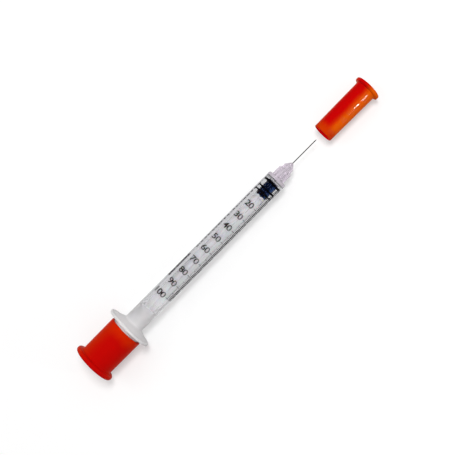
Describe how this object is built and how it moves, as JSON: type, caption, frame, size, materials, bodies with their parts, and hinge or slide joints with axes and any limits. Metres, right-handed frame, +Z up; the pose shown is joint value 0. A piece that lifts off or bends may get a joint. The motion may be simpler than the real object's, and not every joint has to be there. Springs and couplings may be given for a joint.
{
  "type": "syringe",
  "caption": "Disposable insulin syringe lying on its finger flange: clear barrel with a unit scale, ribbed plunger, fixed fine needle, cup over the thumb rest and the needle shield pulled off.",
  "frame": {"origin": "on the surface it lies on, under the middle of its bounding box", "axes": "+X along the syringe toward the needle and its shield, in plan; +Y across; +Z up. The syringe's own axis lies in the XZ plane and drops by 1.33 degrees toward +X."},
  "size_m": [0.1444, 0.0186, 0.0171],
  "materials": {
    "clear_barrel": "clear polypropylene, glossy",
    "clear_hub": "translucent lilac-grey plastic",
    "scale_ink": "dark printing ink",
    "needle_steel": "drawn stainless steel",
    "bond_glue": "clear cured glue",
    "white_rod": "natural white plastic",
    "stopper_rubber": "blue-black lubricated rubber",
    "red_cap": "smooth red plastic",
    "orange_shield": "glossy orange-red plastic"
  },
  "bodies": {
    "barrel_unit": {"barrel": "clear_barrel", "needle_hub": "clear_hub", "needle": "needle_steel", "needle_bond": "bond_glue"},
    "plunger": {"plunger_rod": "white_rod", "stopper": "stopper_rubber"},
    "plunger_cap": {"plunger_cap": "red_cap"},
    "needle_shield": {"needle_shield": "orange_shield"}
  },
  "joints": [
    {"name": "plunger_slide", "type": "slide", "parent": "barrel_unit", "child": "plunger", "axis": [-0.9997, 0, 0.0231], "range_m": [0, 0.0645]},
    {"name": "plunger_cap_slide", "type": "slide", "parent": "plunger", "child": "plunger_cap", "axis": [-0.9997, 0, 0.0231], "range_m": [0, 0.0169]},
    {"name": "needle_shield_slide", "type": "slide", "parent": "barrel_unit", "child": "needle_shield", "axis": [-0.9997, 0, 0.0231], "range_m": [0, 0.02335]}
  ]
}
